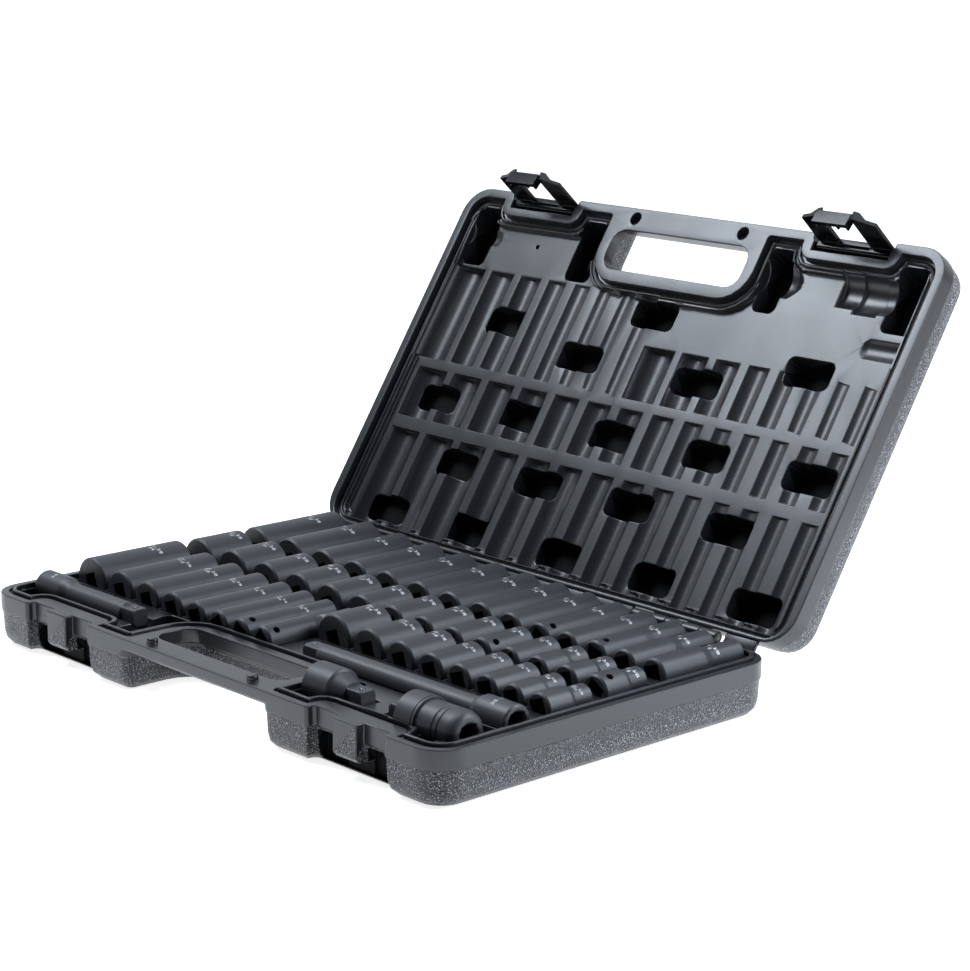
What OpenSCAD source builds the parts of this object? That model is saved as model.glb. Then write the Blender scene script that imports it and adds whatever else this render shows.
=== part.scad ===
// Socket set in a blow-moulded carrying case: two hinged halves with an integral handle,
// two snap latches, 44 impact sockets, two extensions, an adapter and a universal joint.
// Origin: centre of the underside of the base. X runs along the case, +Y to the hinge.

/* [Case] */
// Width of the case, side to side
case_w = 380; // [378:1:392]
// Depth of the case, front to back, without the hinge
case_d = 234; // [234:1:244]
// Height of the base, underside to parting plane
base_h = 30; // [28:0.5:34]
// Height of the lid, parting plane to top
lid_h = 26; // [24:0.5:30]
// Plan radius of the outer corners
corner_r = 18; // [14:1:22]
// Radius of the rounded edge between the skin's flat and its sides
edge_r = 8; // [5:0.5:9]
// Height of the smooth band beside the parting plane
band_h = 11; // [8:0.5:13]
// How far the grained skin stands back from the smooth band
skin_step = 0.8; // [0.4:0.1:1.2]
// Angle of the open lid at rest
lid_angle = 123; // [95:1:124]

/* [Handle] */
// Half width of the handle opening
grip_half_w = 54; // [50:1:55]
// Width of the handle bar, front to back
bar_w = 15; // [14:0.5:17]
// Thickness of each half of the handle bar
bar_t = 8; // [7:0.5:9]
// Depth of the handle recess in the front wall
recess_d = 43; // [42:0.5:44]
// Distance of the alignment pegs from the middle
peg_x = 42.7; // [38:0.1:46]
// Radius of the alignment pegs
peg_r = 3; // [2.5:0.1:3.2]

/* [Seal] */
// Inset of the groove in the base rim
groove_in = 4.6; // [4.2:0.1:5]
// Width of the groove in the base rim
groove_w = 2; // [1.6:0.1:2.2]
// Width of the raised tongue on the base rim
tongue_w = 2.2; // [1.8:0.1:2.3]
// Height of the tongue above the parting plane
tongue_h = 1.2; // [0.8:0.1:1.6]
// Depth of the base deck below the parting plane
base_deck = 2; // [1.5:0.1:2.5]
// Depth of the lid deck above the parting plane
lid_deck = 7; // [6.5:0.1:7.5]

/* [Latches] */
// Distance of each latch from the middle
latch_x = 122.5; // [121:0.5:123]
// Width of each latch
latch_w = 52; // [50:0.5:52]
// Width of the keeper that the latch closes over
keeper_w = 17.6; // [16:0.2:18]
// Angle of the open latch at rest, away from its closed position
latch_angle = 9; // [9:1:40]

/* [Hinge] */
// Distance of the hinge axis behind the case
hinge_back = 4; // [4:0.1:4.4]
// Radius of the hinge knuckles
knuckle_r = 3.4; // [3:0.1:3.5]
// Radius of the hinge pins
pin_r = 1.5; // [1.2:0.1:1.6]

/* [Sockets] */
// Length of the deep sockets
deep_len = 62.5; // [60:0.5:62.5]
// Length of the shallow sockets
shallow_len = 32; // [30:0.5:32]
// Size of the square drive
drive = 9.5; // [9.4:0.05:9.6]
// Height of the tool axes below the parting plane
axis_drop = 0.5; // [0.5:0.1:1]
// Side clearance between a tool and its pocket
pocket_gap = 0.6; // [0.5:0.05:0.7]
// End clearance between a tool and its pocket
end_gap = 0.7; // [0.6:0.05:0.8]
// How far a socket's cross hole lies from its drive end
pin_hole_z = 6.5; // [6:0.1:7.5]

/* [Tools] */
// Radius of the extension shanks
shank_r = 6.25; // [6:0.05:6.4]
// Length of the short extension
short_ext_len = 92; // [90:1:93]
// Length of the long extension
long_ext_len = 158; // [150:1:158]
// Largest swing of the universal joint each way, which its pocket leaves room for
swing = 11; // [8:1:11]

/* [Hidden] */
$fn = 48;
eps = 0.01;

plastic = "#33353a";
latch_black = "#141416";
steel_black = "#2a2c31";
pin_steel = "#8a8d92";

// ---- Outlines -------------------------------------------------------------------------

front_y = -case_d / 2;
back_y = case_d / 2;
recess_half_w = grip_half_w + 2;     // the lip of the handle opening stands 2 mm proud
latch_in_x = latch_x - 28.5;
latch_out_x = latch_x + 28.5;
latch_step = 5;                      // how far the front wall steps back at a latch
seal_step = 10.5;                    // how far the seal steps back at a latch
back_shift = 3.5;                    // the seal runs closer to the edge along the hinge

// Corners of the right half of the front and side walls: x, y, radius, largest radius, steps
function half_loop(step, back) = [
    [recess_half_w, front_y + recess_d, 14, 99, 5],
    [recess_half_w, front_y, 8, 99, 4],
    [latch_in_x, front_y, 2, step - 1, 3],
    [latch_in_x, front_y + step, 2, step - 1, 3],
    [latch_out_x, front_y + step, 2, step - 1, 3],
    [latch_out_x, front_y, 2, step - 1, 3],
    [case_w / 2, front_y, corner_r, 99, 6],
    [case_w / 2, back_y + back, corner_r, 99, 6]
];
function full_loop(half) = concat(
    half,
    [for (i = [len(half) - 1:-1:0]) [-half[i][0], half[i][1], half[i][2], half[i][3], half[i][4]]]
);
body_loop = full_loop(half_loop(latch_step, 0));
seal_loop = full_loop(half_loop(seal_step, back_shift));

// Inward normal of the edge from a to b of a counter-clockwise outline
function inward(a, b) = let (d = [b[0] - a[0], b[1] - a[1]]) [-d[1], d[0]] / norm(d);
// Arc of one corner, with the whole outline moved inwards by inset
function corner_arc(a, v, b, inset) =
    let (n1 = inward(a, v), n2 = inward(v, b),
         turn = n1[0] * n2[1] - n1[1] * n2[0] > 0 ? 1 : -1,
         r = turn > 0 ? max(v[2] - inset, 0.6) : min(v[2] + inset, v[3]),
         c = [v[0], v[1]] + (inset + turn * r) * (n1 + n2))
    [for (i = [0:v[4]]) let (t = 90 * i / v[4]) c - turn * r * (n1 * cos(t) + n2 * sin(t))];
function inset_points(loop, inset) =
    let (n = len(loop))
    [for (i = [0:n - 1]) each corner_arc(loop[(i + n - 1) % n], loop[i], loop[(i + 1) % n], inset)];

function rounded_rect(w, d, r, steps = 4) = [
    for (q = [0:3]) let (cx = (q == 0 || q == 3 ? 1 : -1) * (w / 2 - r), cy = (q < 2 ? 1 : -1) * (d / 2 - r))
    for (i = [0:steps]) [cx + r * cos(90 * (q + i / steps)), cy + r * sin(90 * (q + i / steps))]
];

module inset_shape(loop, inset) { polygon(inset_points(loop, inset)); }
module ring_shape(loop, inset, width) {
    difference() {
        inset_shape(loop, inset);
        inset_shape(loop, inset + width);
    }
}
// Box from its lowest corner to its highest corner
module block(low, high) { translate(low) cube(high - low); }
// Bar along X with a given section in Y and Z
module x_bar(x0, x1, section) {
    translate([x0, 0, 0]) rotate([90, 0, 90]) linear_extrude(x1 - x0) polygon(section);
}
module well(x0, x1, y0, y1, z0, z1, r = 4) {
    translate([(x0 + x1) / 2, (y0 + y1) / 2, z0])
        linear_extrude(z1 - z0) polygon(rounded_rect(x1 - x0, y1 - y0, r));
}

// ---- Rows of sockets ------------------------------------------------------------------

// Across flats, drive end diameter, nose diameter
metric = [
    [22, 29, 29], [21, 28, 28], [19, 26, 26], [18, 25, 25], [17, 24, 24], [16, 23, 23], [15, 22, 22],
    [14, 21, 21], [13, 19.5, 19.5], [12, 18, 18], [11, 17.5, 17], [10, 17.5, 16], [9, 17.5, 14.5],
    [8, 17.5, 13.5]
];
inch = 25.4;
imperial = [
    [3 / 4 * inch, 27.5, 27.5], [11 / 16 * inch, 24, 24], [5 / 8 * inch, 22, 22],
    [9 / 16 * inch, 20, 20], [1 / 2 * inch, 18.5, 18.5], [7 / 16 * inch, 17, 17],
    [3 / 8 * inch, 16.5, 15], [5 / 16 * inch, 16.5, 13]
];

axis_z = base_h - axis_drop;
square_play = 0.1;                   // how much wider a female square is than the male one
pin_hole_r = 1.9;
metric_x = [-159.5, 167.5];          // middles of the first and last socket of a metric row
deep_inch_x = [-166, -9.5];
shallow_inch_x = [13, 169];
row_back_y = [111.2, 39, -1];        // back end of the pockets of the three rows

// Sockets stand with equal gaps between the first and the last of a row
function reach(sizes, i) = i == 0 ? 0 : reach(sizes, i - 1) + (sizes[i - 1][1] + sizes[i][1]) / 2;
function socket_x(sizes, ends, i) =
    let (last = len(sizes) - 1, spare = ends[1] - ends[0] - reach(sizes, last))
    ends[0] + reach(sizes, i) + spare * i / last;

// Roll of each socket: where its cross hole points, 0 being straight up
away = -110;
deep_metric_roll = [away, away, away, away, away, away, away, away, away, 35, away, 15, away, away];
shallow_metric_roll = [away, away, away, away, away, away, away, away, away, 40, away, away, away, 30];
deep_inch_roll = [away, away, away, away, away, -35, 25, 40];
shallow_inch_roll = [away, away, away, away, away, away, away, away];

// Drive end at z = 0, nut end at z = length, cross hole on +Y
module impact_socket(af, od, nose_od, length) {
    r = od / 2;
    nose = nose_od / 2;
    edge = 1.2;
    drive_deep = 11;
    nut_deep = length * 0.3;
    nut_r = af / 2 / cos(30);
    bore_r = af * 0.44;
    lead_in = 0.8;
    square = drive + square_play;
    color(steel_black)
    difference() {
        rotate_extrude() polygon([
            [0, 0], [r - edge, 0], [r, edge], [r, length * 0.5], [nose, length * 0.62],
            [nose, length - edge], [nose - edge * 0.8, length], [0, length]
        ]);
        translate([-square / 2, -square / 2, -eps]) cube([square, square, drive_deep]);
        translate([0, 0, drive_deep - 1]) cylinder(r = bore_r, h = length - nut_deep - drive_deep + 2);
        translate([0, 0, length - nut_deep]) cylinder(r = nut_r, h = nut_deep + 1, $fn = 6);
        translate([0, 0, length - lead_in]) cylinder(r1 = af / 2, r2 = nut_r + 0.4, h = lead_in + 0.1);
        translate([0, 0, pin_hole_z]) rotate([-90, 0, 0]) translate([0, 0, -eps])
            cylinder(r = pin_hole_r, h = r + 1);
    }
}
// A socket in its pocket: the drive end faces the front
module seated_socket(sizes, ends, rolls, i, row, length) {
    s = sizes[i];
    translate([socket_x(sizes, ends, i), row_back_y[row] - end_gap - length, axis_z])
        rotate([-90, 0, 0]) rotate([0, 0, 180 + rolls[i]])
            impact_socket(s[0], s[1], s[2], length);
}
module deep_metric(i) { seated_socket(metric, metric_x, deep_metric_roll, i, 0, deep_len); }
module shallow_metric(i) { seated_socket(metric, metric_x, shallow_metric_roll, i, 1, shallow_len); }
module deep_inch(i) { seated_socket(imperial, deep_inch_x, deep_inch_roll, i, 2, deep_len); }
module shallow_inch(i) { seated_socket(imperial, shallow_inch_x, shallow_inch_roll, i, 2, shallow_len); }

module socket_pockets(sizes, ends, row, length) {
    long = length + 2 * end_gap;
    for (i = [0:len(sizes) - 1])
        translate([socket_x(sizes, ends, i), row_back_y[row], axis_z]) rotate([90, 0, 0])
            cylinder(r = sizes[i][1] / 2 + pocket_gap, h = long);
}

// ---- Tools of the front row -----------------------------------------------------------

ball_r = 1.6;
ball_out = 0.7;                      // how far a detent ball stands out of its square
ball_from_tip = 5.5;
square_len = 12;
square_corner_r = drive * 0.66;      // the square's edges are turned down to this radius

// Male square, base at z = 0, tip at z = square_len, with the seat of its detent ball on +Y
module male_square() {
    difference() {
        intersection() {
            translate([-drive / 2, -drive / 2, -1]) cube([drive, drive, square_len + 1]);
            translate([0, 0, -1]) cylinder(r = square_corner_r, h = square_len);
            translate([0, 0, -1]) cylinder(r1 = square_corner_r + square_len * 0.5, r2 = drive * 0.5, h = square_len + 1);
        }
        translate([0, 0, square_len - ball_from_tip]) rotate([-90, 0, 0]) cylinder(r = ball_r + 0.05, h = drive);
    }
}
module detent_ball() {
    color(pin_steel) translate([0, drive / 2 + ball_out - ball_r, square_len - ball_from_tip]) sphere(r = ball_r);
}
// Female square, mouth at z = 0, opening downwards, with its chamfer
module square_socket(size, deep) {
    translate([-size / 2, -size / 2, -eps]) cube([size, size, deep]);
    translate([0, 0, -eps]) cylinder(r1 = size * 0.66, r2 = size * 0.5, h = size * 0.16);
}
// Turns +Z to +X or -X, with +Y turned up
module along_x(at) { translate(at) rotate([0, 90, 0]) rotate([0, 0, 90]) children(); }
module along_minus_x(at) { translate(at) rotate([0, -90, 0]) rotate([0, 0, -90]) children(); }

short_ext_at = [-178, -86, axis_z];
short_ext_head_r = 8.5;
long_ext_at = [178.2, -56, axis_z];
long_ext_head_r = 9;
head_len = 22;
cone_len = 6;

module extension(length, head_r) {
    shank_end = length - square_len;
    color(steel_black)
    difference() {
        union() {
            rotate_extrude() polygon([
                [0, 0], [head_r - 1, 0], [head_r, 1], [head_r, head_len], [shank_r, head_len + cone_len],
                [shank_r, shank_end - 1], [shank_r - 1, shank_end], [0, shank_end]
            ]);
            translate([0, 0, shank_end]) male_square();
        }
        square_socket(drive + square_play, square_len);
    }
}
module extension_short() { along_x(short_ext_at) extension(short_ext_len, short_ext_head_r); }
module extension_short_ball() { along_x(short_ext_at) translate([0, 0, short_ext_len - square_len]) detent_ball(); }
module extension_long() { along_minus_x(long_ext_at) extension(long_ext_len, long_ext_head_r); }
module extension_long_ball() { along_minus_x(long_ext_at) translate([0, 0, long_ext_len - square_len]) detent_ball(); }

adapter_at = [66, -87, axis_z];
adapter_r = 11.5;
adapter_head = 20;
adapter_cone = 8;
adapter_drive = 12.8;                // the larger square that the adapter takes
adapter_drive_deep = 15;
adapter_neck_r = 6.6;
module adapter() {
    along_x(adapter_at) color(steel_black)
    difference() {
        union() {
            rotate_extrude() polygon([
                [0, 0], [adapter_r - 1.2, 0], [adapter_r, 1.2], [adapter_r, adapter_head - 1],
                [adapter_r - 1.5, adapter_head], [adapter_neck_r, adapter_head + adapter_cone], [0, adapter_head + adapter_cone]
            ]);
            translate([0, 0, adapter_head + adapter_cone]) male_square();
        }
        square_socket(adapter_drive, adapter_drive_deep);
    }
}
module adapter_ball() { along_x(adapter_at) translate([0, 0, adapter_head + adapter_cone]) detent_ball(); }

universal_at = [146, -86, axis_z];   // middle of the ball
ball_joint_r = 9.2;
housing_bore_r = 9.5;
mouth_bevel = 0.8;
collar_r = 13;
body_r = 11.6;
housing_left = -10;                  // the housing's mouth, from the middle of the ball
housing_right = 31;
groove_at = 3;                       // left edge of the ring's groove
ring_w = 2;
ring_deep = 1.4;
ring_play = 0.2;
cross_pin_r = 2;
cross_pin_len = 21.4;
pin_slot_r = 11.1;                   // round end walls of the slot that the cross pin's ends turn in
pin_slot_half_h = cross_pin_r + 0.15;
pin_slot_half_w = 5;
neck_r = 5;
neck_len = 10.5;

module universal_housing() {
    along_x(universal_at) color(steel_black)
    difference() {
        rotate_extrude() polygon([
            [0, housing_left], [collar_r - 1, housing_left], [collar_r, housing_left + 1],
            [collar_r, groove_at], [collar_r - ring_deep, groove_at], [collar_r - ring_deep, groove_at + ring_w],
            [body_r, groove_at + ring_w], [body_r, 16], [body_r - 0.5, 16.4], [body_r - 0.5, 17.2], [body_r, 17.6],
            [body_r, 19.6], [body_r - 0.5, 20], [body_r - 0.5, 20.8], [body_r, 21.2],
            [body_r, 26], [body_r - 0.7, 28.6], [body_r - 2.2, 30.4], [body_r - 3.6, housing_right], [0, housing_right]
        ]);
        translate([0, 0, housing_left - 1]) cylinder(r = housing_bore_r, h = 1 - housing_left);
        sphere(r = housing_bore_r);
        translate([0, 0, housing_left - eps])
            cylinder(r1 = housing_bore_r + mouth_bevel, r2 = housing_bore_r, h = mouth_bevel);
        intersection() {
            rotate([90, 0, 0]) cylinder(r = pin_slot_r, h = 2 * pin_slot_half_h, center = true);
            block([-collar_r, -pin_slot_half_h - 1, -pin_slot_half_w], [collar_r, pin_slot_half_h + 1, pin_slot_half_w]);
        }
        translate([0, 0, housing_right]) rotate([180, 0, 0]) square_socket(drive + square_play, square_len);
    }
}
module universal_ring() {
    along_x(universal_at) translate([0, 0, groove_at]) color(steel_black)
    difference() {
        translate([0, 0, ring_play]) cylinder(r = collar_r - ring_play, h = ring_w - 2 * ring_play);
        cylinder(r = collar_r - ring_deep, h = ring_w);
    }
}
// Cross pin, its ends rounded about the upright axis that they turn on in the housing
module universal_pin() {
    color(pin_steel) translate(universal_at) intersection() {
        rotate([90, 0, 0]) cylinder(r = cross_pin_r, h = cross_pin_len + 2, center = true);
        cylinder(r = cross_pin_len / 2, h = 4 * cross_pin_r, center = true);
    }
}
module universal_drive() {
    along_minus_x(universal_at) color(steel_black)
    difference() {
        union() {
            sphere(r = ball_joint_r);
            cylinder(r = neck_r, h = neck_len);
            translate([0, 0, neck_len]) male_square();
        }
        rotate([0, 90, 0]) cylinder(r = cross_pin_r + 0.05, h = 3 * ball_joint_r, center = true);
    }
}
module universal_drive_ball() { along_minus_x(universal_at) translate([0, 0, neck_len]) detent_ball(); }

// Troughs for the front row's tools: the same cut serves the base and the lid
module tool_troughs() {
    g = pocket_gap;
    head_end = short_ext_at[0] + head_len;
    translate([short_ext_at[0] - end_gap, short_ext_at[1], axis_z]) rotate([0, 90, 0]) {
        cylinder(r = short_ext_head_r + g, h = head_len + end_gap + 1);
        cylinder(r = shank_r + g, h = short_ext_len + 2 * end_gap);
    }
    translate([head_end + 1 - eps, short_ext_at[1], axis_z]) rotate([0, 90, 0])
        cylinder(r1 = short_ext_head_r + g, r2 = shank_r + g, h = cone_len);
    translate([long_ext_at[0] + end_gap, long_ext_at[1], axis_z]) rotate([0, -90, 0]) {
        cylinder(r = long_ext_head_r + g, h = head_len + end_gap + 1);
        cylinder(r = shank_r + 2 * g, h = long_ext_len + 2 * end_gap);
        translate([0, 0, head_len + end_gap + 1 - eps])
            cylinder(r1 = long_ext_head_r + g, r2 = shank_r + g, h = cone_len);
    }
    translate([adapter_at[0] - end_gap, adapter_at[1], axis_z]) rotate([0, 90, 0]) {
        cylinder(r = adapter_r + g, h = adapter_head + end_gap + 1);
        cylinder(r = square_corner_r + 2 * g, h = adapter_head + adapter_cone + square_len + 2 * end_gap);
        translate([0, 0, adapter_head + end_gap + 1 - eps])
            cylinder(r1 = adapter_r + g, r2 = adapter_neck_r + g, h = adapter_cone);
    }
    translate([universal_at[0] + housing_left - end_gap, universal_at[1], axis_z]) rotate([0, 90, 0]) {
        cylinder(r = collar_r + g, h = groove_at + ring_w - housing_left + 2 * end_gap);
        cylinder(r = body_r + g, h = housing_right - housing_left + 2 * end_gap);
    }
    // Room for the square end of the joint to swing both ways at once
    translate([universal_at[0], universal_at[1], axis_z]) rotate([0, -90, 0])
        cylinder(r = (neck_len + square_len) * sin(swing) * 1.1 + square_corner_r + g, h = neck_len + square_len + 2 * g);
}

// Finger wells at the ends of the front row's tools, from x to x
base_tool_wells = [[-180, -159], [-86, -66], [65.6, 82], [158, 180]];
lid_tool_wells = [[-178, -159], [-86, -66], [65.6, 82], [158, 178]];
tool_well_back = -67;

// ---- Case -----------------------------------------------------------------------------

// First point of each corner in an outline
function corner_start(loop, c) = c == 0 ? 0 : corner_start(loop, c - 1) + loop[c - 1][4] + 1;
// One moulded half, skin at z = 0 and parting plane at z = h: a loft of inset outlines.
// Its two flat faces are cut into pieces, each of which a fan from its first point covers.
module case_body(h) {
    skin = h - band_h;
    rings = concat(
        [for (a = [0:30:90]) [skin_step + 0.6 + edge_r * (1 - sin(a)), edge_r * (1 - cos(a))]],
        [[skin_step, skin], [0, skin + skin_step], [0, h]]
    );
    points = [for (ring = rings) each [for (p = inset_points(body_loop, ring[0])) [p[0], p[1], ring[1]]]];
    n = len(points) / len(rings);
    s = [for (c = [0:8]) corner_start(body_loop, c)];
    right = [
        [for (i = [s[1] - 1:s[4]]) i],
        concat([s[7] - 1], [for (i = [s[4]:s[7] - 2]) i]),
        concat([s[8] - 1], [for (i = [0:s[1] - 1]) i], [s[4]], [for (i = [s[7] - 1:s[8] - 2]) i])
    ];
    left = [for (piece = right) [for (k = [0:len(piece) - 1]) n - 1 - piece[(len(piece) - k) % len(piece)]]];
    flat = concat([[0, s[8] - 1, s[8], n - 1]], right, left);
    top = (len(rings) - 1) * n;
    polyhedron(points, concat(
        flat,
        [for (k = [0:len(rings) - 2]) for (i = [0:n - 1])
            [k * n + i, (k + 1) * n + i, (k + 1) * n + (i + 1) % n, k * n + (i + 1) % n]],
        [for (piece = flat) [for (k = [0:len(piece) - 1]) top + piece[(len(piece) - k) % len(piece)]]]
    ));
}
// Handle bar and the lip round its opening
module handle(h) {
    difference() {
        union() {
            block([-recess_half_w - 1, front_y + bar_w - 1, h - bar_t], [recess_half_w + 1, front_y + recess_d + 1, h]);
            x_bar(-recess_half_w - 9, recess_half_w + 9, [
                [front_y, h], [front_y, h - bar_t + 3], [front_y + 1, h - bar_t + 1], [front_y + 3, h - bar_t],
                [front_y + bar_w - 3, h - bar_t], [front_y + bar_w - 1, h - bar_t + 1], [front_y + bar_w, h - bar_t + 3],
                [front_y + bar_w, h]
            ]);
        }
        well(-grip_half_w, grip_half_w, front_y + bar_w, front_y + recess_d - 2, h - bar_t - 1, h + 1, 9);
    }
}
peg_y = front_y + 7;
peg_h = 3.2;
peg_bevel = 0.8;
keeper_front = front_y;
hook_floor = 4;
keeper_bottom = 10;
undercut_top = 18;
undercut_y = front_y + 13;
undercut_x = 18.6;                   // middle of each undercut, from the middle of its latch
undercut_w = 17.6;
hook_room_w = 28;                    // room under the keeper for the latch's hook
hook_room_y = front_y + 11;
hinge_y = back_y + hinge_back;
hinge_x = 115;
knuckle_len = 12;
knuckle_pitch = 12.4;
pin_play = 0.06;                     // the pins are pressed in the base and turn in the lid
base_web = 3.4;
lid_web_low = 0.3;
lid_web_high = 8;
ledge_half_w = 31;
ledge_low = 7.5;
ledge_high = 4.7;

// Knuckles first, first + 2, ... of both hinges, with the webs that carry them
module knuckles(first, last, web_low, web_high) {
    for (side = [-1, 1]) for (k = [first:2:last]) {
        x0 = side * hinge_x + (k - 2) * knuckle_pitch - knuckle_len / 2;
        difference() {
            union() {
                translate([x0, hinge_y, base_h]) rotate([0, 90, 0]) cylinder(r = knuckle_r, h = knuckle_len);
                block([x0, back_y - 2, web_low], [x0 + knuckle_len, hinge_y, web_high]);
            }
            translate([x0 - 1, hinge_y, base_h]) rotate([0, 90, 0])
                cylinder(r = first == 0 ? pin_r : pin_r + pin_play, h = knuckle_len + 2);
        }
    }
}
module hinge_pins() {
    len = 4 * knuckle_pitch + knuckle_len;
    color(pin_steel) for (side = [-1, 1])
        translate([side * hinge_x - len / 2, hinge_y, base_h]) rotate([0, 90, 0]) cylinder(r = pin_r, h = len);
}

module base_shell() {
    color(plastic) {
        difference() {
            union() {
                case_body(base_h);
                handle(base_h);
                translate([0, 0, base_h - eps]) linear_extrude(tongue_h + eps)
                    ring_shape(seal_loop, groove_in + groove_w, tongue_w);
                for (side = [-1, 1]) translate([side * peg_x, peg_y, base_h - eps]) {
                    cylinder(r = peg_r, h = peg_h - peg_bevel);
                    translate([0, 0, peg_h - peg_bevel]) cylinder(r1 = peg_r, r2 = peg_r - peg_bevel, h = peg_bevel);
                }
            }
            translate([0, 0, base_h - 2]) linear_extrude(3) ring_shape(seal_loop, groove_in, groove_w);
            translate([0, 0, base_h - base_deck]) linear_extrude(4)
                inset_shape(seal_loop, groove_in + groove_w + tongue_w);
            socket_pockets(metric, metric_x, 0, deep_len);
            socket_pockets(metric, metric_x, 1, shallow_len);
            socket_pockets(imperial, deep_inch_x, 2, deep_len);
            socket_pockets(imperial, shallow_inch_x, 2, shallow_len);
            tool_troughs();
            for (w = base_tool_wells) well(w[0], w[1], -107.4, tool_well_back, 8, base_h + 1);
            for (side = [-1, 1]) {
                for (end = [-1, 1]) {
                    x = side * latch_x + end * undercut_x;
                    block([x - undercut_w / 2, front_y - 1, hook_floor - 1.5], [x + undercut_w / 2, undercut_y, undercut_top]);
                }
                block([side * latch_x - hook_room_w / 2, front_y - 1, hook_floor - 1.5],
                    [side * latch_x + hook_room_w / 2, hook_room_y, keeper_bottom]);
            }
        }
        for (side = [-1, 1])
            x_bar(side * latch_x - keeper_w / 2, side * latch_x + keeper_w / 2, [
                [keeper_front, base_h], [keeper_front, keeper_bottom + 2.5], [keeper_front + 2, keeper_bottom + 0.3],
                [keeper_front + 3, keeper_bottom], [front_y + latch_step + 4, keeper_bottom], [front_y + latch_step + 4, base_h]
            ]);
        knuckles(0, 4, base_h - base_web, base_h);
        // Ledges that the lid's knuckle webs come to rest on
        for (side = [-1, 1])
            block([side * hinge_x - ledge_half_w, back_y - 2, base_h - ledge_low],
                [side * hinge_x + ledge_half_w, hinge_y + 8, base_h - ledge_high]);
    }
}

latch_pivot_y = front_y + 6.8;
latch_pivot_z = base_h + 4;
trough_top = base_h + 10;
trough_y = front_y + 10.8;
lid_groove_in = 6;
lid_step = 3.2;                      // the rim's inner step, above the parting plane
tongue_room = [2.2, 5.2];            // width and depth of the groove that takes the base's tongue
second_groove = [3.6, 1.3, 4.8];     // inset from the first, width and depth
wall_in = 6.2;                       // from the first groove to the inside wall
pivot_bore_r = 2.1;
lid_floor = 4;                       // skin left at the bottom of the lid's wells
blow_hole_at = [-119, -85, base_h];
blow_hole_r = 1.3;
finger_w = 33;
finger_d = 17;
// Finger wells of the lid: rows of middles with the same spacing
finger_wells = concat(
    [for (i = [0:4]) each [[-149.5 + 75.8 * i, 98.7], [-149.5 + 75.8 * i, 22.5]]],
    [for (i = [0:3]) [-110 + 75 * i, 60.8]],
    [[-120.7, -34.5], [-45.7, -20], [-2, -54], [47.8, -19], [123.8, -36]]
);

// Lid in its closed place, over the base
module closed_lid() {
    top = base_h + lid_h;
    difference() {
        union() {
            difference() {
                union() {
                    translate([0, 0, top]) mirror([0, 0, 1]) case_body(lid_h);
                    translate([0, 0, top]) mirror([0, 0, 1]) handle(lid_h);
                }
                translate([0, 0, base_h - 1]) linear_extrude(1 + lid_step) inset_shape(seal_loop, lid_groove_in);
                translate([0, 0, base_h - 1]) linear_extrude(1 + tongue_room[1])
                    ring_shape(seal_loop, lid_groove_in, tongue_room[0]);
                translate([0, 0, base_h - 1]) linear_extrude(1 + second_groove[2])
                    ring_shape(seal_loop, lid_groove_in + second_groove[0], second_groove[1]);
                translate([0, 0, base_h - 1]) linear_extrude(1 + lid_deck) inset_shape(seal_loop, lid_groove_in + wall_in);
                for (side = [-1, 1]) translate([side * latch_x, 0, 0])
                    block([-latch_w / 2 - 1, front_y - 1, base_h - 1], [latch_w / 2 + 1, trough_y, trough_top]);
            }
            for (side = [-1, 1])
                block([side * latch_x - keeper_w / 2, front_y, trough_top + 1],
                    [side * latch_x + keeper_w / 2, front_y + latch_step + 2, top - 7]);
        }
        socket_pockets(metric, metric_x, 0, deep_len);
        socket_pockets(metric, metric_x, 1, shallow_len);
        socket_pockets(imperial, deep_inch_x, 2, deep_len);
        socket_pockets(imperial, shallow_inch_x, 2, shallow_len);
        tool_troughs();
        for (w = finger_wells)
            well(w[0] - finger_w / 2, w[0] + finger_w / 2, w[1] - finger_d / 2, w[1] + finger_d / 2,
                base_h + 1, top - lid_floor);
        for (w = lid_tool_wells) well(w[0], w[1], -105.5, tool_well_back, base_h + 1, top - lid_floor);
        translate(blow_hole_at) cylinder(r = blow_hole_r, h = lid_deck + 5);
        for (side = [-1, 1]) {
            translate([side * peg_x, peg_y, base_h - 1]) cylinder(r = peg_r + 0.8, h = peg_h + 2.3);
            translate([side * latch_x - latch_w / 2 - 4.5, latch_pivot_y, latch_pivot_z]) rotate([0, 90, 0])
                cylinder(r = pivot_bore_r, h = latch_w + 9);
        }
    }
    knuckles(1, 3, base_h + lid_web_low, base_h + lid_web_high);
}
// Turns what lies on the closed lid to where it is on the open one
module opened() {
    translate([0, hinge_y, base_h]) rotate([-lid_angle, 0, 0]) translate([0, -hinge_y, -base_h]) children();
}
module lid_shell() { color(plastic) opened() closed_lid(); }

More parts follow.
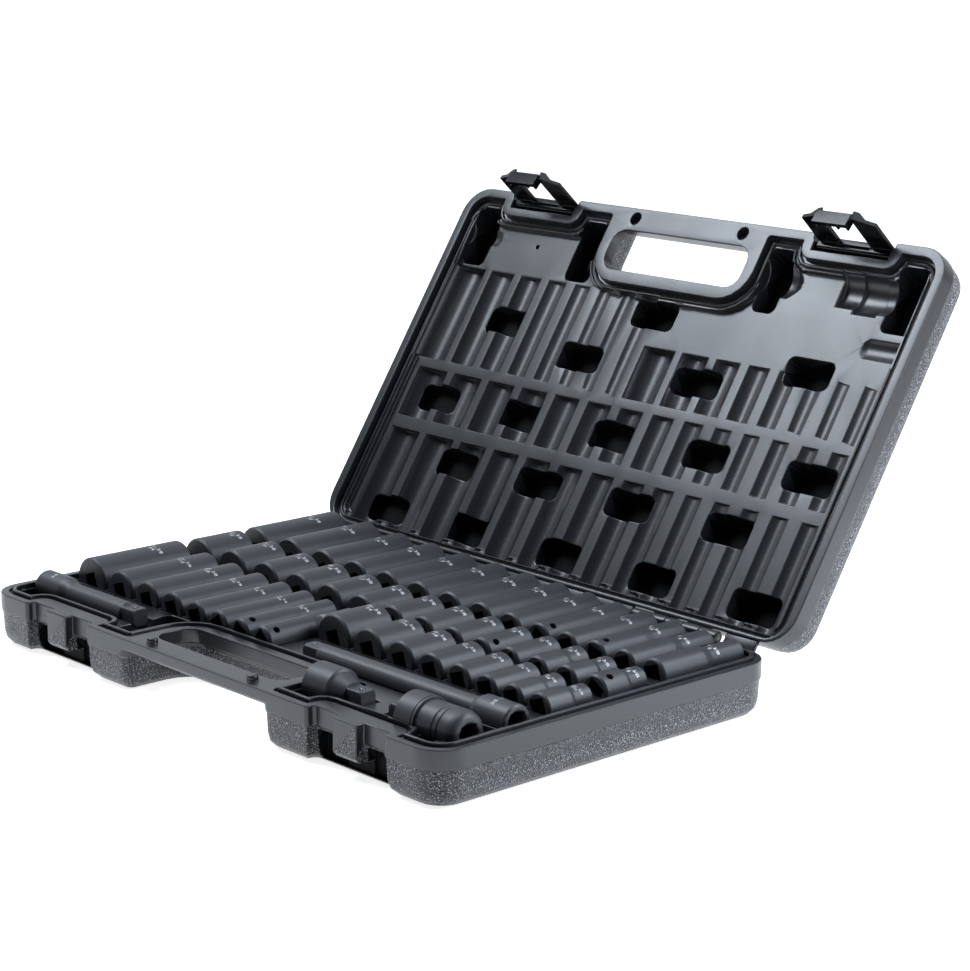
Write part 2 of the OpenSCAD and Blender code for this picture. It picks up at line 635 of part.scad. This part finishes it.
// Latch in its closed place, pivot axis through the origin, arms hanging down
module closed_latch() {
    w = latch_w / 2;
    window = 11;
    plate_y = [-4.8, -2.4];
    barrel_r = 2.4;
    pivot_r = 2;
    tip = hook_floor + 2 - latch_pivot_z;
    hook = hook_floor - latch_pivot_z;
    arm_taper = 5;
    hook_w = 12;
    hook_back = 3.2;
    floor_t = 1.6;
    lip_t = 1.2;
    lip_h = keeper_bottom - hook_floor - 0.2;
    back_h = 3;
    rib_h = 5.2;
    rotate([0, 90, 0]) cylinder(r = barrel_r, h = latch_w, center = true);
    rotate([0, 90, 0]) cylinder(r = pivot_r, h = latch_w + 7, center = true);
    // Bar between the arms, and the two arms with their thumb edges
    block([-window - 1, plate_y[0], 0.5 - latch_pivot_z + base_h], [window + 1, plate_y[1] + 1, 0.8]);
    for (side = [-1, 1]) intersection() {
        x_bar(side > 0 ? window : -w, side > 0 ? w : -window, [
            [0, -barrel_r], [0, barrel_r], [plate_y[0] + 1.6, barrel_r], [plate_y[0], 0.8], [plate_y[0], tip + 2.2],
            [plate_y[0] - 3, tip + 0.6], [plate_y[0] - 3, tip - 0.6], [plate_y[1], tip - 0.6], [plate_y[1], -barrel_r]
        ]);
        rotate([90, 0, 0]) linear_extrude(20, center = true) polygon([
            [side * (window - 1), barrel_r + 1], [side * (window - 1), tip - 0.6], [side * window, tip - 0.6],
            [side * w, tip - 0.6 + arm_taper], [side * (w + 1), tip + arm_taper], [side * (w + 1), barrel_r + 1]
        ]);
    }
    // Hook: a floor with lips, side walls and ribs, which closes under the keeper
    block([-hook_w, plate_y[0], hook], [hook_w, hook_back, hook + floor_t]);
    block([-hook_w, plate_y[0], hook], [hook_w, plate_y[0] + lip_t, hook + lip_h]);
    block([-hook_w, hook_back - lip_t, hook], [hook_w, hook_back, hook + back_h]);
    for (x = [-hook_w, -5, 4, hook_w - lip_t]) block([x, plate_y[0], hook], [x + lip_t, hook_back, hook + rib_h]);
}
module latch(side) {
    color(latch_black) opened() translate([side * latch_x, latch_pivot_y, latch_pivot_z])
        rotate([-latch_angle, 0, 0]) closed_latch();
}
module latch_left() { latch(-1); }
module latch_right() { latch(1); }

base_shell();
lid_shell();
hinge_pins();
latch_left();
latch_right();
deep_metric(0);  // deep_socket_22mm
deep_metric(1);  // deep_socket_21mm
deep_metric(2);  // deep_socket_19mm
deep_metric(3);  // deep_socket_18mm
deep_metric(4);  // deep_socket_17mm
deep_metric(5);  // deep_socket_16mm
deep_metric(6);  // deep_socket_15mm
deep_metric(7);  // deep_socket_14mm
deep_metric(8);  // deep_socket_13mm
deep_metric(9);  // deep_socket_12mm
deep_metric(10);  // deep_socket_11mm
deep_metric(11);  // deep_socket_10mm
deep_metric(12);  // deep_socket_9mm
deep_metric(13);  // deep_socket_8mm
shallow_metric(0);  // shallow_socket_22mm
shallow_metric(1);  // shallow_socket_21mm
shallow_metric(2);  // shallow_socket_19mm
shallow_metric(3);  // shallow_socket_18mm
shallow_metric(4);  // shallow_socket_17mm
shallow_metric(5);  // shallow_socket_16mm
shallow_metric(6);  // shallow_socket_15mm
shallow_metric(7);  // shallow_socket_14mm
shallow_metric(8);  // shallow_socket_13mm
shallow_metric(9);  // shallow_socket_12mm
shallow_metric(10);  // shallow_socket_11mm
shallow_metric(11);  // shallow_socket_10mm
shallow_metric(12);  // shallow_socket_9mm
shallow_metric(13);  // shallow_socket_8mm
deep_inch(0);  // deep_socket_3_4in
deep_inch(1);  // deep_socket_11_16in
deep_inch(2);  // deep_socket_5_8in
deep_inch(3);  // deep_socket_9_16in
deep_inch(4);  // deep_socket_1_2in
deep_inch(5);  // deep_socket_7_16in
deep_inch(6);  // deep_socket_3_8in
deep_inch(7);  // deep_socket_5_16in
shallow_inch(0);  // shallow_socket_3_4in
shallow_inch(1);  // shallow_socket_11_16in
shallow_inch(2);  // shallow_socket_5_8in
shallow_inch(3);  // shallow_socket_9_16in
shallow_inch(4);  // shallow_socket_1_2in
shallow_inch(5);  // shallow_socket_7_16in
shallow_inch(6);  // shallow_socket_3_8in
shallow_inch(7);  // shallow_socket_5_16in
extension_short();
extension_short_ball();
extension_long();
extension_long_ball();
adapter();
adapter_ball();
universal_housing();
universal_ring();
universal_pin();
universal_drive();
universal_drive_ball();
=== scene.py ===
import math

import bpy
from mathutils.bvhtree import BVHTree
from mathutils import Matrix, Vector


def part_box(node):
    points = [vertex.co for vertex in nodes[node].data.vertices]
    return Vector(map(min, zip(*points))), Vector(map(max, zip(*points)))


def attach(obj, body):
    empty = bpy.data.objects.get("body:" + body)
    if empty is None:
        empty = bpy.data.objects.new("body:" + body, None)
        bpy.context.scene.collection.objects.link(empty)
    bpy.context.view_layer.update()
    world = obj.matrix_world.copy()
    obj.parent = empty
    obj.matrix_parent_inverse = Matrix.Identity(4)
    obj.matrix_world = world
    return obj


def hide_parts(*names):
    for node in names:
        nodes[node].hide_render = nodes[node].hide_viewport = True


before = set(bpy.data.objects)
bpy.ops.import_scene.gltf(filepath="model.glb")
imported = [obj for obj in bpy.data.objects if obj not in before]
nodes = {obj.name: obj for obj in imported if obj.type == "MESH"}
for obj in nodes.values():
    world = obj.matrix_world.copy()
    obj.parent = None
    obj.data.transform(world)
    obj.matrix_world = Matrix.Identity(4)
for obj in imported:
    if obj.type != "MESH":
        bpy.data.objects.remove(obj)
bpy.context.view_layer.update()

# ---------------------------------------------------------------------------
# Camera: a long lens from the front right corner, a little above the rim, aimed
# at the middle of the open case.
# ---------------------------------------------------------------------------
TARGET = (0.0790, 0.0101, 0.1179)
AZIMUTH, ELEVATION, ROLL = math.radians(47.32), math.radians(13.17), math.radians(-0.47)
DISTANCE = 1.33385
LENS, SENSOR = 96.5, 36

bpy.ops.object.camera_add(
    location=(
        TARGET[0] + DISTANCE * math.sin(AZIMUTH) * math.cos(ELEVATION),
        TARGET[1] - DISTANCE * math.cos(AZIMUTH) * math.cos(ELEVATION),
        TARGET[2] + DISTANCE * math.sin(ELEVATION),
    ),
    rotation=(math.pi / 2 - ELEVATION, ROLL, AZIMUTH),
)
camera = bpy.context.object
camera.data.sensor_width = SENSOR
camera.data.lens = LENS
camera.data.clip_start = 0.01
bpy.context.scene.camera = camera

# ---------------------------------------------------------------------------
# Studio: a pale lit floor, a white surround that is dim towards the front, and
# soft lamps at the left front, overhead, beside the lid and behind it.
# ---------------------------------------------------------------------------
FLOOR_WHITE, FLOOR_GLOW = (0.86, 0.86, 0.86, 1), 0.80
FLOOR_SIZE, FLOOR_LOW = 24, 0.0002                   # metres across, and below the case's feet
BACKDROP_WAY = (-0.73, 0.68, 0.05)
BACKDROP_EDGE, BACKDROP_FULL = 0.1, 0.6              # where the surround brightens, along that way
FRONT_DIM, BACK_BRIGHT = 0.04, 1.0
SEEN_BRIGHT = 1.2                                    # what the eye sees of it is brighter than its light
SKY_TINT = (0.90, 0.95, 1.0, 1)
LAMP_TINT = (0.82, 0.90, 1.0)

bpy.context.scene.view_settings.view_transform = "Standard"

bpy.ops.mesh.primitive_plane_add(size=FLOOR_SIZE, location=(0, 0, -FLOOR_LOW))
floor = bpy.context.object
floor.name = "studio_floor"
bpy.ops.object.transform_apply(location=True, rotation=True, scale=True)
floor_paint = bpy.data.materials.new("pale_floor")
floor_paint.use_nodes = True
floor_shader = floor_paint.node_tree.nodes["Principled BSDF"]
floor_shader.inputs["Base Color"].default_value = FLOOR_WHITE
floor_shader.inputs["Roughness"].default_value = 0.9
floor_shader.inputs["Specular IOR Level"].default_value = 0.1
floor_shader.inputs["Emission Color"].default_value = (1, 1, 1, 1)
floor_shader.inputs["Emission Strength"].default_value = FLOOR_GLOW
floor.data.materials.append(floor_paint)

surround = bpy.data.worlds.new("studio_surround")
surround.use_nodes = True
sky = surround.node_tree
sky_place = sky.nodes.new("ShaderNodeTexCoord")
sky_way = sky.nodes.new("ShaderNodeVectorMath")
sky_way.operation = "DOT_PRODUCT"
sky_way.inputs[1].default_value = BACKDROP_WAY
sky_dim = sky.nodes.new("ShaderNodeMapRange")
sky_dim.inputs["From Min"].default_value = BACKDROP_EDGE
sky_dim.inputs["From Max"].default_value = BACKDROP_FULL
sky_dim.inputs["To Min"].default_value = FRONT_DIM
sky_dim.inputs["To Max"].default_value = BACK_BRIGHT
sky_ray = sky.nodes.new("ShaderNodeLightPath")
sky_seen = sky.nodes.new("ShaderNodeMath")
sky_seen.operation = "MULTIPLY_ADD"
sky_seen.inputs[1].default_value = SEEN_BRIGHT
sky.links.new(sky_place.outputs["Generated"], sky_way.inputs[0])
sky.links.new(sky_way.outputs["Value"], sky_dim.inputs["Value"])
sky.links.new(sky_ray.outputs["Is Camera Ray"], sky_seen.inputs[0])
sky.links.new(sky_dim.outputs["Result"], sky_seen.inputs[2])
sky.links.new(sky_seen.outputs["Value"], sky.nodes["Background"].inputs["Strength"])
sky.nodes["Background"].inputs["Color"].default_value = SKY_TINT
bpy.context.scene.world = surround


def softbox(name, at, towards, width, height, watts):
    """A rectangular lamp at one point, turned towards another."""
    bpy.ops.object.light_add(type="AREA", location=at)
    lamp = bpy.context.object
    lamp.name = name
    lamp.data.shape = "RECTANGLE"
    lamp.data.size, lamp.data.size_y = width, height
    lamp.data.energy = watts
    lamp.data.color = LAMP_TINT
    lamp.visible_camera = False
    way = [b - a for a, b in zip(at, towards)]
    flat = math.hypot(way[0], way[1])
    lamp.rotation_euler = (math.atan2(flat, -way[2]), 0, math.atan2(way[1], way[0]) - math.pi / 2)
    return lamp


softbox("left_front_softbox", (-0.81, -0.37, 1.27), (0.1, 0.15, 0.25), 0.6, 0.6, 18)
softbox("overhead_softbox", (-0.1, -0.1, 1.6), (0, 0, 0), 1.2, 0.9, 13)
softbox("right_floor_softbox", (0.55, 0.26, 0.26), (0.42, 0.18, 0), 0.3, 0.5, 4)
softbox("back_right_softbox", (0.72, 1.06, 1.18), (0.1, 0, 0.05), 0.3, 0.3, 8)

# ---------------------------------------------------------------------------
# Case halves: blow-moulded charcoal polyethylene, satin inside and on the band
# beside the parting plane, pebble-grained on the outer skin below that band.
# Painted shade darkens the faces deep in the wells, and painted glints lighten the
# pebble crowns.
# ---------------------------------------------------------------------------
CASE_GREY = (0.009, 0.0097, 0.0115, 1)
# painted shade: a darker copy of the case plastic for the faces deep in the wells
WELL_PAINTED_SHADE = (0.0025, 0.0026, 0.003, 1)
GRAIN_GREY = (0.005, 0.0053, 0.0062, 1)
# painted glints: the colour the pebble crowns are lightened towards
PEBBLE_GLINT_PAINT = (0.50, 0.51, 0.55, 1)
MOULD_EDGE = 0.0007
SHARP, DOUBLES = math.radians(32), 0.00005
OPPOSITE, FLAT_WEIGHT = -0.7, 60
CLOUD_SCALE, CLOUD_DETAIL = 38, 5
GLOSSIER, DULLER = 0.05, 0.07
PEEL_SCALE, PEEL_DETAIL, PEEL_STRENGTH, PEEL_HIGH = 420, 3, 0.10, 0.0003
PEBBLES_PER_METRE, PEBBLE_HIGH = 1250, 0.0007
PEBBLE_EDGE, PEBBLE_CROWN = 0.46, 0.14               # from the middle of a pebble, as parts of its size
HINGE_AT = (0.121, 0.030)                            # y, z
LID_OPEN = math.radians(-123)
BAND_DEEP, WELL_DEEP = 0.0106, 0.0155                # from the parting plane
SIDE_SKIN, BACK_SKIN, FRONT_SKIN = 0.184, 0.1125, -0.1095
GAP_SIDE, GAP_BACK = (0.050, 0.060), -0.073          # side walls of the handle gap
OUTWARD, SIDEWAYS = 0.05, 0.5


def moulded_copy(node, name, edge, segments=2):
    """A copy of a CAD node with its doubles merged and its sharp edges rounded."""
    bpy.ops.object.select_all(action="DESELECT")
    piece = nodes[node].copy()
    piece.data = nodes[node].data.copy()
    for key in list(piece.keys()):
        del piece[key]
    piece.parent = None
    piece.name = name
    piece.data.name = name
    piece.data.materials.clear()
    bpy.context.collection.objects.link(piece)
    bpy.context.view_layer.objects.active = piece
    piece.select_set(True)
    bpy.ops.object.mode_set(mode="EDIT")
    bpy.ops.mesh.select_all(action="SELECT")
    bpy.ops.mesh.remove_doubles(threshold=DOUBLES)
    bpy.ops.object.mode_set(mode="OBJECT")
    corners = [corner.co.copy() for corner in piece.data.vertices]
    skin = BVHTree.FromPolygons(corners, [face.vertices[:] for face in piece.data.polygons])
    rounding = piece.modifiers.new("rounded_edges", "BEVEL")
    rounding.width = edge
    rounding.segments = segments
    rounding.limit_method = "ANGLE"
    rounding.angle_limit = SHARP
    rounding.use_clamp_overlap = False
    rounding.loop_slide = False
    bpy.ops.object.modifier_apply(modifier=rounding.name)
    inverted = [
        face for face in piece.data.polygons if face.normal.dot(skin.find_nearest(face.center)[1]) < OPPOSITE
    ]
    for face in inverted:            # the top of a wall too thin for both its roundings
        face.flip()
    piece.data.update()
    bpy.ops.object.shade_smooth_by_angle(angle=SHARP)
    flatness = piece.modifiers.new("flat_faces_stay_flat", "WEIGHTED_NORMAL")
    flatness.mode = "FACE_AREA"
    flatness.keep_sharp = True
    flatness.weight = FLAT_WEIGHT
    bpy.ops.object.modifier_apply(modifier=flatness.name)
    return piece


def plastic(name, colour, roughness, grain):
    """Moulded plastic: faint cloudiness in its gloss, and a pebble grain where it has one, with painted
    glints lightening the pebble crowns.
    """
    mat = bpy.data.materials.new(name)
    mat.use_nodes = True
    tree = mat.node_tree
    shader = tree.nodes["Principled BSDF"]
    shader.inputs["Base Color"].default_value = colour
    shader.inputs["IOR"].default_value = 1.5
    place = tree.nodes.new("ShaderNodeTexCoord")
    cloud = tree.nodes.new("ShaderNodeTexNoise")
    cloud.inputs["Scale"].default_value = CLOUD_SCALE
    cloud.inputs["Detail"].default_value = CLOUD_DETAIL
    tree.links.new(place.outputs["Object"], cloud.inputs["Vector"])
    gloss = tree.nodes.new("ShaderNodeMapRange")
    gloss.inputs["To Min"].default_value = roughness - GLOSSIER
    gloss.inputs["To Max"].default_value = roughness + DULLER
    tree.links.new(cloud.outputs["Fac"], gloss.inputs["Value"])
    tree.links.new(gloss.outputs["Result"], shader.inputs["Roughness"])
    relief = tree.nodes.new("ShaderNodeBump")
    if grain:
        pebbles = tree.nodes.new("ShaderNodeTexVoronoi")
        pebbles.feature = "F1"
        pebbles.inputs["Scale"].default_value = PEBBLES_PER_METRE
        tree.links.new(place.outputs["Object"], pebbles.inputs["Vector"])
        relief.invert = True
        relief.inputs["Strength"].default_value = 1.0
        relief.inputs["Distance"].default_value = PEBBLE_HIGH
        tree.links.new(pebbles.outputs["Distance"], relief.inputs["Height"])
        # painted glints: the base colour turns lighter towards each pebble's crown, by a random amount per
        # pebble
        top = tree.nodes.new("ShaderNodeMapRange")
        top.inputs["From Min"].default_value = PEBBLE_EDGE
        top.inputs["From Max"].default_value = PEBBLE_CROWN
        one = tree.nodes.new("ShaderNodeSeparateColor")
        painted_glint = tree.nodes.new("ShaderNodeMath")
        painted_glint.operation = "MULTIPLY"
        tint = tree.nodes.new("ShaderNodeMix")
        tint.data_type = "RGBA"
        tint.inputs["A"].default_value = colour
        tint.inputs["B"].default_value = PEBBLE_GLINT_PAINT
        tree.links.new(pebbles.outputs["Distance"], top.inputs["Value"])
        tree.links.new(pebbles.outputs["Color"], one.inputs["Color"])
        tree.links.new(top.outputs["Result"], painted_glint.inputs[0])
        tree.links.new(one.outputs["Red"], painted_glint.inputs[1])
        tree.links.new(painted_glint.outputs["Value"], tint.inputs["Factor"])
        tree.links.new(tint.outputs["Result"], shader.inputs["Base Color"])
    else:
        orange_peel = tree.nodes.new("ShaderNodeTexNoise")
        orange_peel.inputs["Scale"].default_value = PEEL_SCALE
        orange_peel.inputs["Detail"].default_value = PEEL_DETAIL
        tree.links.new(place.outputs["Object"], orange_peel.inputs["Vector"])
        relief.inputs["Strength"].default_value = PEEL_STRENGTH
        relief.inputs["Distance"].default_value = PEEL_HIGH
        tree.links.new(orange_peel.outputs["Fac"], relief.inputs["Height"])
    tree.links.new(relief.outputs["Normal"], shader.inputs["Normal"])
    return mat


case_satin = plastic("case_satin", CASE_GREY, 0.30, grain=False)
case_grained = plastic("case_grained", GRAIN_GREY, 0.27, grain=True)
# painted shade for the deep wells: the case plastic made darker and almost without reflection
case_painted_shade = plastic("case_painted_shade", WELL_PAINTED_SHADE, 0.6, grain=False)
case_painted_shade.node_tree.nodes["Principled BSDF"].inputs["Specular IOR Level"].default_value = 0.08


def finish_skin(piece, closed):
    """Grains the faces of the outer skin, and gives the faces deep in the wells painted shade.

    closed(point, normal) is where a face lies on the closed case: x, y, its depth
    from the parting plane, and its tilt outwards.
    """
    for finish in (case_satin, case_grained, case_painted_shade):
        piece.data.materials.append(finish)
    for face in piece.data.polygons:
        x, y, depth, out = closed(face.center, face.normal)
        rim = abs(x) > SIDE_SKIN or y > BACK_SKIN or y < FRONT_SKIN
        gap_side = GAP_SIDE[0] < abs(x) < GAP_SIDE[1] and y < GAP_BACK and abs(face.normal.x) > SIDEWAYS
        if depth > BAND_DEEP and (out > OUTWARD or rim or gap_side):
            face.material_index = 1
        # faces deeper than WELL_DEEP inside the case get the painted shade
        elif depth > WELL_DEEP:
            face.material_index = 2


def on_base(point, normal):
    return point.x, point.y, HINGE_AT[1] - point.z, -normal.z


def on_lid(point, normal):
    dy, dz = point.y - HINGE_AT[0], point.z - HINGE_AT[1]
    cos, sin = math.cos(-LID_OPEN), math.sin(-LID_OPEN)
    y = HINGE_AT[0] + dy * cos - dz * sin
    return point.x, y, dy * sin + dz * cos, normal.y * sin + normal.z * cos


base_half = moulded_copy("base_shell", "case_base_half", MOULD_EDGE)
finish_skin(base_half, on_base)
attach(base_half, "case_base")
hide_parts("base_shell")

lid_half = moulded_copy("lid_shell", "case_lid_half", MOULD_EDGE)
finish_skin(lid_half, on_lid)
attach(lid_half, "lid")
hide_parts("lid_shell")

# ---------------------------------------------------------------------------
# Hinge flange: a thin lip moulded along the lid's back edge, between and beside
# the two hinges, which closes the gap behind the base's rim while the lid is open.
# ---------------------------------------------------------------------------
FLANGE_RUNS = ((-0.171, -0.149), (-0.081, 0.081), (0.149, 0.171))
FLANGE_BACK, FLANGE_WIDE = 0.1168, 0.0070
FLANGE_LOW, FLANGE_THICK = 0.0306, 0.0022
FLANGE_EDGE = 0.0006

for number, (left, right) in enumerate(FLANGE_RUNS, start=1):
    bpy.ops.object.select_all(action="DESELECT")
    bpy.ops.mesh.primitive_cube_add(
        size=1,
        location=((left + right) / 2, FLANGE_BACK + FLANGE_WIDE / 2, FLANGE_LOW + FLANGE_THICK / 2),
        scale=(right - left, FLANGE_WIDE, FLANGE_THICK),
    )
    flange = bpy.context.object
    flange.name = f"hinge_flange_{number}"
    bpy.ops.object.transform_apply(location=True, rotation=True, scale=True)
    bpy.ops.object.mode_set(mode="EDIT")
    bpy.ops.mesh.select_all(action="SELECT")
    bpy.ops.mesh.bevel(offset=FLANGE_EDGE, segments=3)
    bpy.ops.mesh.select_all(action="SELECT")
    bpy.ops.transform.rotate(value=-LID_OPEN, orient_axis="X", center_override=(0, *HINGE_AT))
    bpy.ops.object.mode_set(mode="OBJECT")
    bpy.ops.object.shade_smooth_by_angle(angle=SHARP)
    flange.data.materials.append(case_satin)
    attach(flange, "lid")

# ---------------------------------------------------------------------------
# Hinge pins, detent balls and the universal joint's cross pin: plain bright steel,
# darkened by oil, with a cloudy polish.
# ---------------------------------------------------------------------------
pin_steel = bpy.data.materials.new("pin_steel")
pin_steel.use_nodes = True
pin_shader = pin_steel.node_tree.nodes["Principled BSDF"]
pin_shader.inputs["Base Color"].default_value = (0.10, 0.10, 0.105, 1)
pin_shader.inputs["Metallic"].default_value = 1
pin_place = pin_steel.node_tree.nodes.new("ShaderNodeTexCoord")
pin_cloud = pin_steel.node_tree.nodes.new("ShaderNodeTexNoise")
pin_cloud.inputs["Scale"].default_value = 300
pin_gloss = pin_steel.node_tree.nodes.new("ShaderNodeMapRange")
pin_gloss.inputs["To Min"].default_value = 0.25
pin_gloss.inputs["To Max"].default_value = 0.45
pin_steel.node_tree.links.new(pin_place.outputs["Object"], pin_cloud.inputs["Vector"])
pin_steel.node_tree.links.new(pin_cloud.outputs["Fac"], pin_gloss.inputs["Value"])
pin_steel.node_tree.links.new(pin_gloss.outputs["Result"], pin_shader.inputs["Roughness"])
for name in ("hinge_pins", "universal_pin", "extension_short_ball", "extension_long_ball", "adapter_ball",
             "universal_drive_ball"):
    nodes[name].data.materials.clear()
    nodes[name].data.materials.append(pin_steel)

# ---------------------------------------------------------------------------
# Latches: injection-moulded black nylon, shinier than the case, each snapped
# into the lid's two bores.
# ---------------------------------------------------------------------------
LATCH_GREY, LATCH_EDGE = (0.0015, 0.0015, 0.0017, 1), 0.0003

latch_black = plastic("latch_black", LATCH_GREY, 0.2, grain=False)
latch_black.node_tree.nodes["Principled BSDF"].inputs["Specular IOR Level"].default_value = 0.22
for side in ("left", "right"):
    latch = moulded_copy("latch_" + side, "snap_latch_" + side, LATCH_EDGE)
    latch.data.materials.append(latch_black)
    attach(latch, "latch_" + side)
    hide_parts("latch_" + side)

# ---------------------------------------------------------------------------
# Impact tools: turned chrome-molybdenum steel with a matte black phosphate coat,
# a little uneven in tone and gloss.
# ---------------------------------------------------------------------------
COAT_DARK, COAT_LIGHT = (0.014, 0.015, 0.0185, 1), (0.022, 0.0235, 0.028, 1)
SOCKET_EDGE, BAR_EDGE = 0.00025, 0.0002
METRIC = (22, 21, 19, 18, 17, 16, 15, 14, 13, 12, 11, 10, 9, 8)
INCH = ("3_4", "11_16", "5_8", "9_16", "1_2", "7_16", "3_8", "5_16")

phosphate = bpy.data.materials.new("black_phosphate")
phosphate.use_nodes = True
coat = phosphate.node_tree
coat_shader = coat.nodes["Principled BSDF"]
coat_shader.inputs["IOR"].default_value = 1.5
coat_shader.inputs["Specular IOR Level"].default_value = 0.5
coat_place = coat.nodes.new("ShaderNodeTexCoord")
coat_cloud = coat.nodes.new("ShaderNodeTexNoise")
coat_cloud.inputs["Scale"].default_value = 60
coat_cloud.inputs["Detail"].default_value = 6
coat_tint = coat.nodes.new("ShaderNodeMix")
coat_tint.data_type = "RGBA"
coat_tint.inputs["A"].default_value = COAT_DARK
coat_tint.inputs["B"].default_value = COAT_LIGHT
coat_gloss = coat.nodes.new("ShaderNodeMapRange")
coat_gloss.inputs["To Min"].default_value = 0.40
coat_gloss.inputs["To Max"].default_value = 0.54
coat_fine = coat.nodes.new("ShaderNodeTexNoise")
coat_fine.inputs["Scale"].default_value = 1500
coat_relief = coat.nodes.new("ShaderNodeBump")
coat_relief.inputs["Strength"].default_value = 0.12
coat_relief.inputs["Distance"].default_value = 0.0001
coat.links.new(coat_place.outputs["Object"], coat_cloud.inputs["Vector"])
coat.links.new(coat_place.outputs["Object"], coat_fine.inputs["Vector"])
coat.links.new(coat_cloud.outputs["Fac"], coat_tint.inputs["Factor"])
coat.links.new(coat_tint.outputs["Result"], coat_shader.inputs["Base Color"])
coat.links.new(coat_cloud.outputs["Fac"], coat_gloss.inputs["Value"])
coat.links.new(coat_gloss.outputs["Result"], coat_shader.inputs["Roughness"])
coat.links.new(coat_fine.outputs["Fac"], coat_relief.inputs["Height"])
coat.links.new(coat_relief.outputs["Normal"], coat_shader.inputs["Normal"])

sockets = [f"{depth}_socket_{size}mm" for depth in ("deep", "shallow") for size in METRIC]
sockets += [f"{depth}_socket_{size}in" for depth in ("deep", "shallow") for size in INCH]
turned = {}
for node in sockets:
    socket = moulded_copy(node, "turned_" + node, SOCKET_EDGE)
    socket.data.materials.append(phosphate)
    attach(socket, node)
    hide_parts(node)
    turned[node] = socket

bars = {
    "extension_short": "extension_short", "extension_long": "extension_long", "adapter": "adapter",
    "universal_housing": "universal_housing", "universal_ring": "universal_housing",
    "universal_drive": "universal_drive",
}
for node, body in bars.items():
    bar = turned[node] = moulded_copy(node, "turned_" + node, BAR_EDGE)
    bar.data.materials.append(phosphate)
    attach(bar, body)
    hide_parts(node)

# ---------------------------------------------------------------------------
# Size figures: laser-etched on top of every socket and on the heads of the two
# extensions, pale grey through the coat.
# ---------------------------------------------------------------------------
FIGURE_PLACE = {"deep": 0.665, "shallow": 0.74}      # along the socket, from its drive end
FIGURE_HEIGHT, FIGURE_SPAN = 0.0032, 2.4             # the line stays on the socket's upper half
FIGURE_ASIDE = 0.22                                  # of the radius, to the right of the crown
FIGURE_ABOVE, FIGURE_PROUD = 0.002, 0.00003          # before and after they are laid on the skin
STRIPS, STRIP_WIDE = range(-6, 7), 0.0008
HEAD_AT_RIGHT = {"extension_long": True, "extension_short": False}
EXTENSION_FIGURE_HEIGHT, EXTENSION_FIGURE_BACK = 0.0030, 0.0125

etched = bpy.data.materials.new("etched_figures")
etched.use_nodes = True
etched_shader = etched.node_tree.nodes["Principled BSDF"]
etched_shader.inputs["Roughness"].default_value = 0.6
etched_place = etched.node_tree.nodes.new("ShaderNodeTexCoord")
etched_wear = etched.node_tree.nodes.new("ShaderNodeTexNoise")
etched_wear.inputs["Scale"].default_value = 900
etched_tint = etched.node_tree.nodes.new("ShaderNodeMix")
etched_tint.data_type = "RGBA"
etched_tint.inputs["A"].default_value = (0.30, 0.30, 0.31, 1)
etched_tint.inputs["B"].default_value = (0.80, 0.80, 0.81, 1)
etched.node_tree.links.new(etched_place.outputs["Object"], etched_wear.inputs["Vector"])
etched.node_tree.links.new(etched_wear.outputs["Fac"], etched_tint.inputs["Factor"])
etched.node_tree.links.new(etched_tint.outputs["Result"], etched_shader.inputs["Base Color"])


def etch(words, name, onto, at, height, turn=0.0):
    """Figures laid on top of a turned piece: cut into strips, then wrapped on its skin."""
    bpy.ops.object.select_all(action="DESELECT")
    bpy.ops.object.text_add(location=(0, 0, 0))
    mark = bpy.context.object
    mark.name = name
    mark.data.body = words
    mark.data.size = height
    mark.data.align_x = "CENTER"
    mark.data.align_y = "CENTER"
    mark.data.resolution_u = 3
    bpy.ops.object.convert(target="MESH")
    mark.location = at
    mark.rotation_euler = (0, 0, turn)
    bpy.ops.object.transform_apply(location=True, rotation=True, scale=True)
    bpy.ops.object.mode_set(mode="EDIT")
    axis = (0, 1, 0) if turn else (1, 0, 0)
    for step in STRIPS:
        bpy.ops.mesh.select_all(action="SELECT")
        cut = [c + a * step * STRIP_WIDE for c, a in zip(at, axis)]
        bpy.ops.mesh.bisect(plane_co=cut, plane_no=axis)
    bpy.ops.object.mode_set(mode="OBJECT")
    wrap = mark.modifiers.new("wrap", "SHRINKWRAP")
    wrap.target = onto
    wrap.wrap_method = "PROJECT"
    wrap.use_project_z = True
    wrap.use_negative_direction = True
    wrap.use_positive_direction = False
    wrap.offset = FIGURE_PROUD
    bpy.ops.object.modifier_apply(modifier=wrap.name)
    mark.data.materials.append(etched)
    return mark


for node in sockets:
    depth, size = node.split("_socket_")
    plain = size[:-2].replace("_", "/")
    line = f"{plain} - 3/8"
    low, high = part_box(node)
    radius = (high.x - low.x) / 2
    at = (
        (low.x + high.x) / 2 + radius * FIGURE_ASIDE,
        low.y + (high.y - low.y) * FIGURE_PLACE[depth],
        high.z + FIGURE_ABOVE,
    )
    height = min(FIGURE_HEIGHT, radius * FIGURE_SPAN / len(line))
    figures = etch(f"{line}\n{plain}", "figures_" + node, turned[node], at, height)
    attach(figures, node)

for node, at_right in HEAD_AT_RIGHT.items():
    low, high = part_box(node)
    millimetres = round((high.x - low.x) * 200) * 5
    along = high.x - EXTENSION_FIGURE_BACK if at_right else low.x + EXTENSION_FIGURE_BACK
    at = (along, (low.y + high.y) / 2, high.z + FIGURE_ABOVE)
    figures = etch(
        f"3/8 - {millimetres}", "figures_" + node, turned[node], at, EXTENSION_FIGURE_HEIGHT, turn=math.pi / 2
    )
    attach(figures, node)
